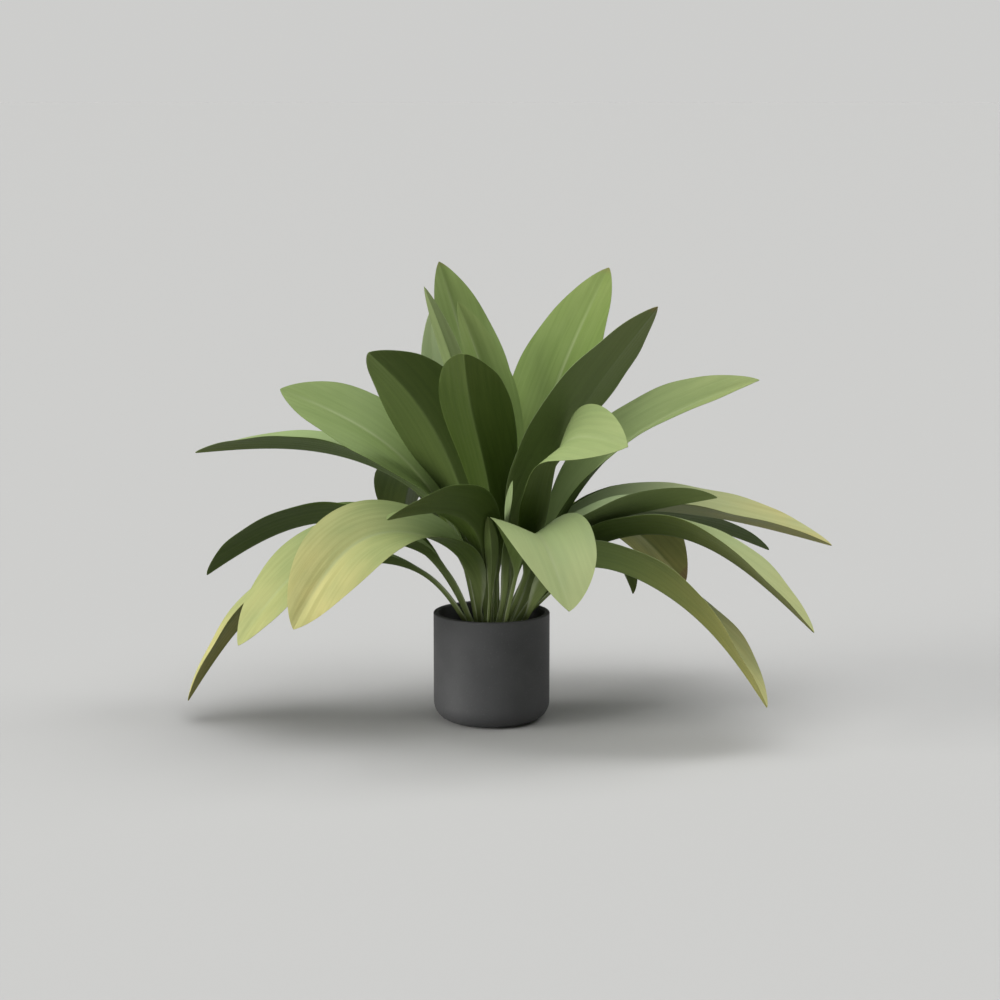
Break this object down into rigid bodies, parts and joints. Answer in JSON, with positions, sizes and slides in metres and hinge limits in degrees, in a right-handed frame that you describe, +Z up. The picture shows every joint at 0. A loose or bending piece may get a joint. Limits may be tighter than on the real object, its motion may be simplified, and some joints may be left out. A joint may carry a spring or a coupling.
{
  "type": "potted cast iron plant",
  "caption": "Potted cast iron plant: long pointed leaves on channelled stalks arch outwards from the soil of a plain round pot.",
  "frame": {"origin": "centre of the pot's foot, on the surface that it stands on", "axes": "+Z up along the pot's axis, +X to the right and +Y away from someone who looks at the plant's front"},
  "size_m": [0.9509, 0.6652, 0.6554],
  "materials": {
    "pot": "matte dark grey, unglazed look, smooth, with a fine soft grain",
    "soil": "loose dark potting soil of peat and bark crumbs, matte",
    "leaf": "leathery leaf, satin, paler midrib and fine lengthwise veins, yellowing towards the tip"
  },
  "bodies": {
    "root": {"pot": "pot", "soil": "soil", "leaf_01": "leaf", "leaf_02": "leaf", "leaf_03": "leaf", "leaf_04": "leaf", "leaf_05": "leaf", "leaf_06": "leaf", "leaf_07": "leaf", "leaf_08": "leaf", "leaf_09": "leaf", "leaf_10": "leaf", "leaf_11": "leaf", "leaf_12": "leaf", "leaf_13": "leaf", "leaf_14": "leaf", "leaf_15": "leaf", "leaf_16": "leaf", "leaf_17": "leaf", "leaf_18": "leaf", "leaf_19": "leaf", "leaf_20": "leaf", "leaf_21": "leaf", "leaf_22": "leaf", "leaf_23": "leaf", "leaf_24": "leaf", "leaf_25": "leaf", "leaf_26": "leaf", "leaf_27": "leaf", "leaf_28": "leaf", "leaf_29": "leaf"}
  },
  "joints": []
}
